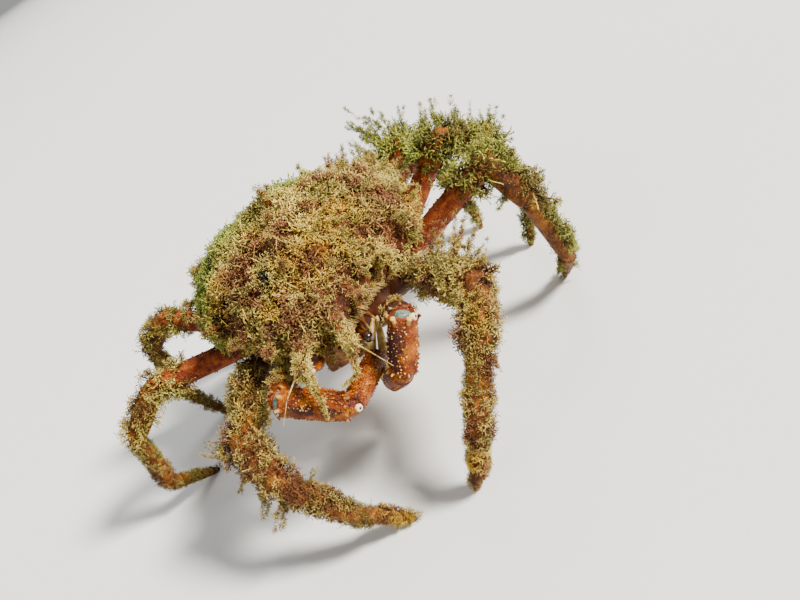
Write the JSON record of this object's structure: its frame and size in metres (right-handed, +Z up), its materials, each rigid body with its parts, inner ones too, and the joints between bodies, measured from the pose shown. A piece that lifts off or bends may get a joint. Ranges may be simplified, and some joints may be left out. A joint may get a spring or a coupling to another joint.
{
  "type": "european spider crab",
  "caption": "Life-size still european spider crab standing on its walking legs, claws folded to its mouth, its spiny domed shell and legs overgrown with algal turf.",
  "frame": {"origin": "on the floor plane, under the centre of the crab's bounding box", "axes": "+Z up; the crab looks along -Y; +X is the crab's own left side"},
  "size_m": [0.2846, 0.255, 0.1371],
  "materials": {
    "turf_shell": "shaggy algal turf over a rough red-brown shell",
    "turf_leg": "shaggy algal turf over a rough orange-red shell",
    "claw_shell": "orange-red shell with pale tubercles and dark purple blotches",
    "finger": "smooth tan and cream claw fingers",
    "underside": "paler reddish underside shell",
    "eye": "wet dark eye on a short red stalk"
  },
  "bodies": {
    "root": {"carapace": "turf_shell", "thorax": "underside", "abdomen": "underside", "eye_left": "eye", "antenna_left": "claw_shell", "maxilliped_left": "underside", "cheliped_left_merus": "claw_shell", "cheliped_left_carpus": "claw_shell", "cheliped_left_palm": "claw_shell", "cheliped_left_fixed_finger": "finger", "cheliped_left_movable_finger": "finger", "leg_left_1_merus": "turf_leg", "leg_left_1_carpus": "turf_leg", "leg_left_1_propodus": "turf_leg", "leg_left_1_dactyl": "turf_leg", "leg_left_2_merus": "turf_leg", "leg_left_2_carpus": "turf_leg", "leg_left_2_propodus": "turf_leg", "leg_left_2_dactyl": "turf_leg", "leg_left_3_merus": "turf_leg", "leg_left_3_carpus": "turf_leg", "leg_left_3_propodus": "turf_leg", "leg_left_3_dactyl": "turf_leg", "leg_left_4_merus": "turf_leg", "leg_left_4_carpus": "turf_leg", "leg_left_4_propodus": "turf_leg", "leg_left_4_dactyl": "turf_leg", "eye_right": "eye", "antenna_right": "claw_shell", "maxilliped_right": "underside", "cheliped_right_merus": "claw_shell", "cheliped_right_carpus": "claw_shell", "cheliped_right_palm": "claw_shell", "cheliped_right_fixed_finger": "finger", "cheliped_right_movable_finger": "finger", "leg_right_1_merus": "turf_leg", "leg_right_1_carpus": "turf_leg", "leg_right_1_propodus": "turf_leg", "leg_right_1_dactyl": "turf_leg", "leg_right_2_merus": "turf_leg", "leg_right_2_carpus": "turf_leg", "leg_right_2_propodus": "turf_leg", "leg_right_2_dactyl": "turf_leg", "leg_right_3_merus": "turf_leg", "leg_right_3_carpus": "turf_leg", "leg_right_3_propodus": "turf_leg", "leg_right_3_dactyl": "turf_leg", "leg_right_4_merus": "turf_leg", "leg_right_4_carpus": "turf_leg", "leg_right_4_propodus": "turf_leg", "leg_right_4_dactyl": "turf_leg"}
  },
  "joints": []
}
